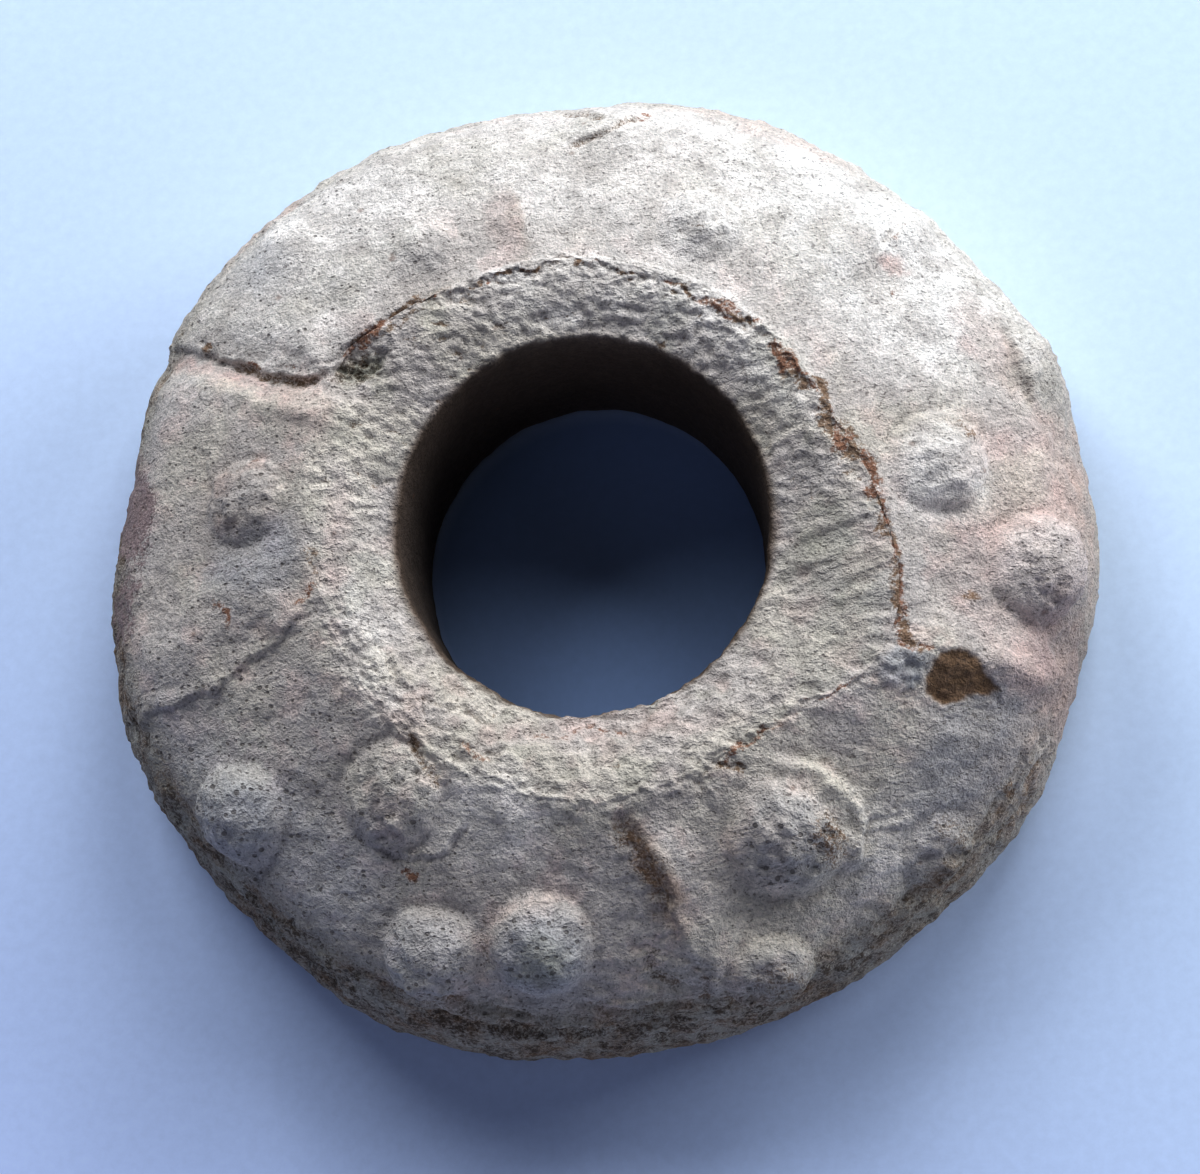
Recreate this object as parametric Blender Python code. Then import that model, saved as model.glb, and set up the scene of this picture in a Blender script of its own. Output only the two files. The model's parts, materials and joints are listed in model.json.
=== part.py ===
"""Spindle whorl of fired clay: a thick pierced disc, flat below and domed above.

A sloping collar leads from the crest down into the bore. Ribs run outwards over the dome
and part it into fields, and round pellets stand in the fields. All of it is one piece.
Bearings are in degrees, anticlockwise from +X seen from above. Lengths are in metres.
"""

import math

import bmesh
import bpy
from mathutils import Vector

# The body, in section from the bore outwards. The dome falls at an even slope from the crest
# and turns over at the shoulder, the more sharply the higher its number.
WHORL_DIAMETER = 0.0290
CREST_HEIGHT = 0.0074
COLLAR_WIDTH = 0.0025
COLLAR_DROP = 0.0011
DOME_SLOPE = 22.0
SHOULDER_SHARPNESS = 9.0
RIM_HEIGHT = 0.0013
BASE_ROUNDING = 0.0011

# The bore narrows towards the base, and it is a little longer along Y than along X.
BORE_DIAMETER = 0.0104
BORE_TAPER = 0.0005
BORE_STRETCH = 1.035
MOUTH_ROUNDING = 0.0004
FOOT_CHAMFER = 0.0003

# How far the rim stands out from a true circle: bearing and distance.
RIM_SHAPE = (
    (0, 0.00030),
    (11, 0.00015),
    (22, 0.00038),
    (40, -0.00010),
    (75, -0.00015),
    (95, -0.00050),
    (120, -0.00015),
    (154, 0.0),
    (169, -0.00048),
    (187, -0.00010),
    (206, 0.00010),
    (226, 0.0),
    (249, 0.00028),
    (272, -0.00008),
    (290, -0.00013),
    (312, -0.00010),
    (331, 0.00010),
    (345, 0.0),
)

# How much wider or narrower the collar is in places: bearing and distance.
COLLAR_SHAPE = (
    (20, -0.00005),
    (75, -0.00025),
    (120, 0.0),
    (146, 0.00045),
    (190, 0.0),
    (235, 0.00015),
    (280, 0.00010),
    (312, 0.00020),
    (338, 0.00140),
)

# The dome's skin laps over the collar's edge with a small step: bearing and height.
LAP_WIDTH = 0.00012
LAP_SHAPE = (
    (20, 0.00020),
    (90, 0.00022),
    (145, 0.00030),
    (185, 0.00006),
    (270, 0.00005),
    (310, 0.00010),
    (340, 0.00028),
)

# Round pellets: bearing, place from the crest (0) to the rim (1), radius and height.
PELLETS = (
    (219, 0.72, 0.00160, 0.00070),
    (237, 0.22, 0.00150, 0.00040),
    (250, 0.73, 0.00145, 0.00075),
    (264, 0.61, 0.00160, 0.00075),
    (293, 0.84, 0.00130, 0.00060),
    (303, 0.38, 0.00185, 0.00075),
    (318, 0.88, 0.00110, 0.00025),
    (355, 0.76, 0.00165, 0.00060),
    (9, 0.35, 0.00140, 0.00040),
    (22, 0.88, 0.00150, 0.00035),
    (69, 0.28, 0.00125, 0.00030),
    (87, 0.72, 0.00135, 0.00035),
    (119, 0.24, 0.00110, 0.00025),
    (134, 0.70, 0.00130, 0.00025),
    (175, 0.28, 0.00125, 0.00030),
)

# Ribs: bearing and place at the inner end, bearing and place at the outer end, height, and
# the width of the clockwise and of the anticlockwise flank. Each fades out over RIB_FADE of
# its length at both ends.
RIB_FADE = 0.2
RIBS = (
    (192, 0.0, 200, 1.0, 0.00050, 0.00200, 0.00115),
    (282, 0.10, 286, 0.98, 0.00045, 0.00080, 0.00140),
    (338, 0.10, 342, 1.0, 0.00040, 0.00080, 0.00120),
    (102, 0.0, 101, 0.65, 0.00018, 0.00120, 0.00080),
    (47, 0.40, 44, 1.0, 0.00030, 0.00110, 0.00090),
)

# One furrow runs in from the rim and ends in a hollow beside the collar.
FURROW = (149, 0.02, 155, 1.1, -0.00045, 0.00060, 0.00140)
HOLLOW = (145, -0.03, 0.00120, -0.00045)

# How finely the surface is divided.
STEPS_AROUND = 140
BORE_RINGS = 3
MOUTH_RINGS = 3
COLLAR_RINGS = 5
DOME_RINGS = 15
DOME_CROWDING = 1.4
EDGE_RINGS = 3
BASE_RINGS = 2
LINE_STEPS = 24

CLAY_COLOUR = (0.52, 0.49, 0.46, 1.0)
CLAY_ROUGHNESS = 0.92


def around(stops, bearing):
    """Reads a value that changes smoothly round the circle through its stops."""
    count = len(stops)
    bearing = bearing % 360.0
    after = next((i for i, stop in enumerate(stops) if stop[0] > bearing), 0)
    picked = [(after + shift) % count for shift in (-2, -1, 0, 1)]
    angles = [(stops[i][0] - stops[picked[1]][0] + 180.0) % 360.0 - 180.0 for i in picked]
    values = [stops[i][1] for i in picked]
    span = angles[2]
    part = ((bearing - stops[picked[1]][0]) % 360.0) / span
    start_slope = (values[2] - values[0]) / (angles[2] - angles[0]) * span
    end_slope = (values[3] - values[1]) / (angles[3] - angles[1]) * span
    rise = values[2] - values[1]
    square = part * part
    cube = square * part
    return (
        values[1]
        + rise * (3.0 * square - 2.0 * cube)
        + start_slope * (cube - 2.0 * square + part)
        + end_slope * (cube - square)
    )


def oval(radius, bearing):
    """The bore's radius at a bearing, for its radius along X."""
    turn = math.radians(bearing)
    return radius / math.hypot(math.cos(turn), math.sin(turn) / BORE_STRETCH)


def mouth_radius(bearing):
    return oval(BORE_DIAMETER / 2.0, bearing)


def foot_radius(bearing):
    return oval(BORE_DIAMETER / 2.0 - BORE_TAPER / 2.0, bearing)


def crest_radius(bearing):
    return mouth_radius(bearing) + COLLAR_WIDTH + around(COLLAR_SHAPE, bearing)


def rim_radius(bearing):
    return WHORL_DIAMETER / 2.0 + around(RIM_SHAPE, bearing)


def dome_height(place):
    """The dome's height, from the crest (0) to the widest line of the rim (1)."""
    place = min(max(place, 0.0), 1.0)
    dome_width = (WHORL_DIAMETER - BORE_DIAMETER) / 2.0 - COLLAR_WIDTH
    fall = dome_width * math.tan(math.radians(DOME_SLOPE)) / (CREST_HEIGHT - RIM_HEIGHT)
    fullness = (1.0 - fall * place) * math.sqrt(1.0 - place**SHOULDER_SHARPNESS)
    return RIM_HEIGHT + (CREST_HEIGHT - RIM_HEIGHT) * fullness


def section(bearing):
    """The closed section at one bearing, as (radius, height) pairs, from the bore's foot up,
    over the collar and the dome, round the rim and back along the base."""
    mouth = mouth_radius(bearing)
    foot = foot_radius(bearing)
    crest = crest_radius(bearing)
    rim = rim_radius(bearing)
    mouth_height = CREST_HEIGHT - COLLAR_DROP
    points = []
    for i in range(BORE_RINGS):
        share = i / BORE_RINGS
        height = FOOT_CHAMFER + (mouth_height - MOUTH_ROUNDING - FOOT_CHAMFER) * share
        points.append((foot + (mouth - foot) * share, height))
    for i in range(MOUTH_RINGS):
        turn = i / MOUTH_RINGS * math.pi / 2.0
        across = MOUTH_ROUNDING * (1.0 - math.cos(turn))
        points.append((mouth + across, mouth_height - MOUTH_ROUNDING * (1.0 - math.sin(turn))))
    collar_start = mouth + MOUTH_ROUNDING
    collar_end = crest - LAP_WIDTH
    collar_climb = COLLAR_DROP - around(LAP_SHAPE, bearing)
    for i in range(COLLAR_RINGS + 1):
        share = i / COLLAR_RINGS
        climb = collar_climb * math.sin(share * math.pi / 2.0)
        points.append((collar_start + (collar_end - collar_start) * share, mouth_height + climb))
    for i in range(DOME_RINGS):
        place = 1.0 - (1.0 - i / DOME_RINGS) ** DOME_CROWDING
        points.append((crest + (rim - crest) * place, dome_height(place)))
    for i in range(EDGE_RINGS):
        turn = i / EDGE_RINGS * math.pi / 2.0
        points.append((rim - BASE_ROUNDING * (1.0 - math.cos(turn)), RIM_HEIGHT * (1.0 - math.sin(turn))))
    base_edge = rim - BASE_ROUNDING
    base_mouth = foot + FOOT_CHAMFER
    for i in range(BASE_RINGS + 1):
        share = i / BASE_RINGS
        points.append((base_edge + (base_mouth - base_edge) * share, 0.0))
    return points


def at(bearing, radius, height):
    turn = math.radians(bearing)
    return Vector((radius * math.cos(turn), radius * math.sin(turn), height))


def on_dome(bearing, place):
    """The point of the dome at a bearing and a place from the crest (0) to the rim (1)."""
    crest = crest_radius(bearing)
    radius = crest + (rim_radius(bearing) - crest) * place
    return at(bearing, radius, dome_height(place))


def build_body():
    """Lofts the section round the bore's axis into one closed body."""
    body = bmesh.new()
    bearings = [360.0 * i / STEPS_AROUND for i in range(STEPS_AROUND)]
    columns = []
    for bearing in bearings:
        columns.append([body.verts.new(at(bearing, *point)) for point in section(bearing)])
    rings = len(columns[0])
    for i, column in enumerate(columns):
        beside = columns[(i + 1) % STEPS_AROUND]
        for j in range(rings):
            up = (j + 1) % rings
            body.faces.new((column[j], beside[j], beside[up], column[up]))
    bmesh.ops.recalc_face_normals(body, faces=body.faces)
    return body


def pellet_rise(point, pellet):
    """How far a pellet, or a hollow with its height below zero, lifts the surface here."""
    bearing, place, radius, height = pellet
    share = (point - on_dome(bearing, place)).length / radius
    return height * (1.0 - share * share) if share < 1.0 else 0.0


def rib_line(rib):
    inner_bearing, inner_place, outer_bearing, outer_place = rib[:4]
    line = []
    for i in range(LINE_STEPS + 1):
        share = i / LINE_STEPS
        bearing = inner_bearing + (outer_bearing - inner_bearing) * share
        line.append(on_dome(bearing, inner_place + (outer_place - inner_place) * share))
    return line


def rib_rise(point, rib, line):
    """How far a rib, or a furrow with its height below zero, lifts the surface here."""
    height, clockwise_flank, anticlockwise_flank = rib[4:]
    distances = [(point - spot).length for spot in line]
    nearest = distances.index(min(distances))
    outwards = line[-1] - line[0]
    anticlockwise = Vector((-outwards.y, outwards.x, 0.0))
    left = (point - line[nearest]).dot(anticlockwise) > 0.0
    share = distances[nearest] / (anticlockwise_flank if left else clockwise_flank)
    if share >= 1.0:
        return 0.0
    along = nearest / LINE_STEPS
    fade = min(1.0, along / RIB_FADE, (1.0 - along) / RIB_FADE)
    return height * fade * (1.0 - share * share) ** 2


def raise_relief(body):
    """Lifts the pellets and ribs and sinks the furrow and its hollow, square to the surface."""
    body.normal_update()
    lowest = RIM_HEIGHT / 2.0
    bore_reach = crest_radius(0.0) - COLLAR_WIDTH / 2.0
    lines = [(rib, rib_line(rib)) for rib in (*RIBS, FURROW)]
    moves = []
    for vertex in body.verts:
        point = vertex.co
        if point.z < lowest or point.xy.length < bore_reach:
            continue
        rise = sum(pellet_rise(point, pellet) for pellet in (*PELLETS, HOLLOW))
        rise += sum(rib_rise(point, rib, line) for rib, line in lines)
        moves.append((vertex, vertex.normal * rise))
    for vertex, move in moves:
        vertex.co += move


def centre_on_origin(body):
    """Puts the middle of the outline over the origin. The base stays at height zero."""
    for axis in (0, 1):
        values = [vertex.co[axis] for vertex in body.verts]
        middle = (min(values) + max(values)) / 2.0
        for vertex in body.verts:
            vertex.co[axis] -= middle


def clay_material():
    material = bpy.data.materials.new("fired_clay")
    material.use_nodes = True
    shader = material.node_tree.nodes["Principled BSDF"]
    shader.inputs["Base Color"].default_value = CLAY_COLOUR
    shader.inputs["Roughness"].default_value = CLAY_ROUGHNESS
    shader.inputs["Metallic"].default_value = 0.0
    return material


def build_whorl():
    body = build_body()
    raise_relief(body)
    centre_on_origin(body)
    mesh = bpy.data.meshes.new("whorl")
    body.to_mesh(mesh)
    body.free()
    mesh.materials.append(clay_material())
    mesh.shade_smooth()
    whorl = bpy.data.objects.new("whorl", mesh)
    bpy.context.scene.collection.objects.link(whorl)
    return whorl


def main():
    for thing in list(bpy.data.objects):
        bpy.data.objects.remove(thing)
    build_whorl()


main()
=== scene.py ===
import json
import math

import bpy
import numpy as np
from mathutils import Matrix, Vector, noise

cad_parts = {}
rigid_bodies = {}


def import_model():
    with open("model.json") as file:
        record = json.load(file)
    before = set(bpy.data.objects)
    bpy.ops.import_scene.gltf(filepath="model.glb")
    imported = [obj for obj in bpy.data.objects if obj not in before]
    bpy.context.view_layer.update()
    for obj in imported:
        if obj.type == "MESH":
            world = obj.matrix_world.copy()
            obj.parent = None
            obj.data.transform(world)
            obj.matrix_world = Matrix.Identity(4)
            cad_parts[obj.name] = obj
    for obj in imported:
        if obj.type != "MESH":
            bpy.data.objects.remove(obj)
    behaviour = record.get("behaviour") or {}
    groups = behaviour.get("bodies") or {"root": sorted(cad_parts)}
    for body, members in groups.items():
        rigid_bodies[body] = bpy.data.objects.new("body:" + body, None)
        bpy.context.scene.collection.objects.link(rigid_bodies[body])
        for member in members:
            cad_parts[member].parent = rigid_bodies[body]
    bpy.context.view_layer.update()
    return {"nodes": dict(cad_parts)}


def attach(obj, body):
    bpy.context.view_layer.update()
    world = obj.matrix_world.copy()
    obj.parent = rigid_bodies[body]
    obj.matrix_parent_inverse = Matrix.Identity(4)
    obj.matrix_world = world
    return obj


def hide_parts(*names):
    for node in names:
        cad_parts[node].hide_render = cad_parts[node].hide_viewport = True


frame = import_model()
mm = 0.001  # every size below is in millimetres


# Editing helpers

def pickOnly(piece):
    bpy.ops.object.select_all(action="DESELECT")
    bpy.context.view_layer.objects.active = piece
    piece.select_set(True)


def selectFaces(piece, wanted):
    # wanted is a yes or no for each face; the flags are set from object mode
    bpy.ops.object.mode_set(mode="EDIT")
    bpy.ops.mesh.select_mode(type="FACE")
    bpy.ops.mesh.select_all(action="DESELECT")
    bpy.ops.object.mode_set(mode="OBJECT")
    piece.data.polygons.foreach_set("select", wanted)
    bpy.ops.object.mode_set(mode="EDIT")


def faceTable(piece):
    # centres in millimetres from the bore's axis, and normals
    faces = piece.data.polygons
    centres = np.zeros(len(faces) * 3)
    normals = np.zeros(len(faces) * 3)
    faces.foreach_get("center", centres)
    faces.foreach_get("normal", normals)
    centres = centres.reshape(-1, 3) / mm - np.array([*whorlShape["boreAxis"], 0.0])
    return centres, normals.reshape(-1, 3)


def addModifier(piece, kind, **settings):
    modifier = piece.modifiers.new(kind.lower(), kind)
    for name, value in settings.items():
        setattr(modifier, name, value)
    bpy.ops.object.modifier_apply(modifier=modifier.name)


# Shaping helpers. Points are rows of x, y, z in millimetres from the bore's axis.

def ramp(low, high, value):
    share = np.clip((value - low) / (high - low), 0.0, 1.0)
    return share * share * (3.0 - 2.0 * share)


def mound(distance, radius):
    # one at the middle, falling smoothly to nothing at the radius
    share = np.clip(distance / radius, 0.0, 1.0)
    return (1.0 - share * share) ** 2


def cloud(points, size, octaves=3, seed=0, stretch=(1.0, 1.0, 1.0)):
    # soft random heights, about -1 to 1, with lumps of this size
    scaled = points / (size * np.array(stretch)) + seed * 17.31
    return np.array([noise.fractal(p, 0.9, 2.1, octaves) for p in scaled]) * 1.6


def ridges(points, size, octaves=3, seed=0, stretch=(1.0, 1.0, 1.0)):
    # random creases: near one along the crease lines, near nothing between them
    return np.clip(1.0 - np.abs(cloud(points, size, octaves, seed, stretch)) * 1.8, 0.0, 1.0) ** 2


def wobble(points, size, seed):
    # a sideways push for each point, so that a line drawn through the pushed points turns out ragged
    return np.column_stack([cloud(points, size, 3, seed), cloud(points, size, 3, seed + 1)])


def alongPath(spots, path):
    # distance to the path, share of the way along it, and distance to its left (right is below nothing)
    path = np.array(path, float)
    best = np.full(len(spots), 1e9)
    share = np.zeros(len(spots))
    side = np.zeros(len(spots))
    steps = np.linalg.norm(np.diff(path, axis=0), axis=1)
    whole = steps.sum()
    run = 0.0
    for start, end, step in zip(path[:-1], path[1:], steps):
        way = (end - start) / step
        offset = spots - start
        along = np.clip(offset @ way, 0.0, step)
        away = np.linalg.norm(offset - along[:, None] * way, axis=1)
        left = way[0] * offset[:, 1] - way[1] * offset[:, 0]
        closer = away < best
        best = np.where(closer, away, best)
        share = np.where(closer, (run + along) / whole, share)
        side = np.where(closer, np.where(left > 0.0, away, -away), side)
        run += step
    return best, share, side


def insideShape(spots, outline):
    # distance inside an outline, below nothing outside it
    closed = [*outline, outline[0]]
    distance, _, _ = alongPath(spots, closed)
    inside = np.zeros(len(spots), bool)
    for (ax, ay), (bx, by) in zip(closed[:-1], closed[1:]):
        crosses = (ay > spots[:, 1]) != (by > spots[:, 1])
        if ay != by:
            at = ax + (spots[:, 1] - ay) / (by - ay) * (bx - ax)
            inside ^= crosses & (spots[:, 0] < at)
    return np.where(inside, distance, -distance)


def ringAt(stops, bearing):
    # a value that changes smoothly round the circle through its stops
    angles = np.array([stop[0] for stop in stops], float)
    values = np.array([stop[1] for stop in stops], float)
    angles = np.concatenate([angles - 360.0, angles, angles + 360.0])
    values = np.tile(values, 3)
    after = np.searchsorted(angles, bearing, side="right")
    before = after - 1
    share = (bearing - angles[before]) / (angles[after] - angles[before])
    share = share * share * (3.0 - 2.0 * share)
    return values[before] + (values[after] - values[before]) * share


def polar(bearing, out):
    turn = math.radians(bearing)
    return np.array([out * math.cos(turn), out * math.sin(turn)])


# The whorl's body: a fine copy of the solid, ready to be worked

whorlShape = {
    "boreAxis": (-0.25, 0.19),  # from the middle of the outline
    "baseCuts": 10,             # rings across the underside
    "boreCuts": 7,              # rings up the bore
    "boreReach": 5.55,          # out to here a steep face is the bore's
    "boreTop": 6.1,             # and up to here
    "rimLow": 0.9,              # where the finely cut surface starts on the side
    "mouth": 5.2,               # the bore's mouth along X
    "mouthStretch": 1.035,      # and how much longer it is along Y
    "collarWidth": 2.5,
    # bearings and values: how much higher than the solid's the mouth stands, how much wider the
    # collar is than its width above, and the height of the solid's smooth step round it
    "mouthLift": [(20, 0.52), (70, 0.82), (110, 0.80), (150, 0.46), (190, 0.50), (230, 0.48),
                  (270, 0.42), (310, 0.44), (350, 0.28)],
    "collarShape": [(20, -0.05), (75, -0.25), (120, 0.0), (146, 0.45), (190, 0.0),
                    (235, 0.15), (280, 0.10), (312, 0.20), (338, 1.40)],
    "stepShape": [(20, 0.20), (90, 0.22), (145, 0.30), (185, 0.06), (270, 0.05), (310, 0.10), (340, 0.28)],
    "pathMargin": 0.08,         # how far beside a crease the surface is cut once more
    "spotMargin": 0.25,         # and beside a broken spot
}


def isUnderside(centres, normals):
    return (normals[:, 2] < -0.99) & (centres[:, 2] < 0.02)


def isBore(centres, normals):
    out = np.linalg.norm(centres[:, :2], axis=1)
    inBore = (out < whorlShape["boreReach"]) & (centres[:, 2] > 0.1) & (centres[:, 2] < whorlShape["boreTop"])
    return inBore & (np.abs(normals[:, 2]) < 0.3)


def makeBody():
    solid = frame["nodes"]["whorl"]
    body = bpy.data.objects.new("firedClayWhorl", solid.data.copy())
    bpy.context.scene.collection.objects.link(body)
    pickOnly(body)
    bpy.ops.object.mode_set(mode="EDIT")
    bpy.ops.mesh.select_all(action="SELECT")
    bpy.ops.mesh.remove_doubles(threshold=0.0005 * mm)
    bpy.ops.mesh.tris_convert_to_quads(face_threshold=math.radians(60), shape_threshold=math.radians(60))
    bpy.ops.object.mode_set(mode="OBJECT")
    # the underside and the bore are rebuilt in even rings
    for test, cuts in ((isUnderside, whorlShape["baseCuts"]), (isBore, whorlShape["boreCuts"])):
        selectFaces(body, test(*faceTable(body)))
        bpy.ops.mesh.delete(type="FACE")
        bpy.ops.mesh.select_mode(type="EDGE")
        bpy.ops.mesh.select_non_manifold(extend=False, use_wire=True, use_boundary=True,
                                         use_multi_face=False, use_non_contiguous=False, use_verts=False)
        bpy.ops.mesh.bridge_edge_loops(number_cuts=cuts, interpolation="LINEAR")
        bpy.ops.object.mode_set(mode="OBJECT")
    addModifier(body, "SUBSURF", levels=1, render_levels=1)
    centres, _ = faceTable(body)
    out = np.linalg.norm(centres[:, :2], axis=1)
    inBore = (out < 5.7) & (centres[:, 2] < 6.0)  # its wall and the mouth's edge stay coarser
    cutFiner(body, (centres[:, 2] > whorlShape["rimLow"]) & ~inBore)
    centres, _ = faceTable(body)
    cutFiner(body, nearDetail(centres))
    bpy.ops.object.mode_set(mode="EDIT")
    bpy.ops.mesh.select_all(action="SELECT")
    bpy.ops.mesh.normals_make_consistent(inside=False)
    bpy.ops.object.mode_set(mode="OBJECT")
    return body


def cutFiner(body, wanted):
    selectFaces(body, wanted)
    bpy.ops.mesh.subdivide(number_cuts=1)
    bpy.ops.object.mode_set(mode="OBJECT")


def nearDetail(centres):
    # faces beside the lap, the creases and the broken spots are cut once more
    near = alongPath(centres[:, :2], lap["path"])[0] < lap["reach"]
    for crease in creases:
        near |= alongPath(centres[:, :2], crease["path"])[0] < crease["width"] + whorlShape["pathMargin"]
    for spot in brokenSpots.values():
        near |= insideShape(centres[:, :2], spot["outline"]) > -whorlShape["spotMargin"]
    return near & (centres[:, 2] > 2.0)


def crestOut(bearing):
    # how far out the collar ends at a bearing
    turn = np.radians(bearing)
    mouth = whorlShape["mouth"] / np.hypot(np.cos(turn), np.sin(turn) / whorlShape["mouthStretch"])
    return mouth + whorlShape["collarWidth"] + ringAt(whorlShape["collarShape"], bearing)


# The lap: the dome's skin ends over the collar in a ragged edge, from the furrow at the rim,
# round the top of the collar and down its right side to the brown break

lap = {
    "path": [(-11.9, 6.4), (-11.2, 6.0), (-10.1, 5.3), (-8.55, 4.8), (-7.5, 4.95), (-6.85, 5.35),
             (-5.8, 6.0), (-5.05, 6.5), (-3.9, 6.75), (-1.9, 7.35), (-0.6, 7.7), (1.7, 7.15), (2.8, 6.75),
             (4.25, 5.8), (5.0, 5.65), (5.7, 4.75), (5.95, 4.15), (6.8, 3.8), (7.0, 2.7), (7.65, 1.85),
             (8.15, 1.5), (8.25, 0.4), (8.55, -0.6), (8.75, -1.4), (8.8, -2.75), (9.05, -3.55), (9.8, -3.95)],
    "reach": 0.45,        # how far beside it the surface is cut once more
    "step": [(20, 0.05), (70, 0.04), (120, 0.04), (145, 0.09), (185, 0.03), (270, 0.03), (310, 0.04),
             (340, 0.06)],
    "lip": 0.025,
    "crack": 0.030,
    "crackWidth": 0.13,
    "ragged": 0.13,       # how far its edge wanders
    "raggedFine": 0.045,
    "lineWidth": 0.15,    # half the width of the line of soil under it
    "lineWider": 0.28,    # and how much wider it gets down the right side
}

# Creases: each with its depth, half its width, the lip beside it and how much soil it holds

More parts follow.
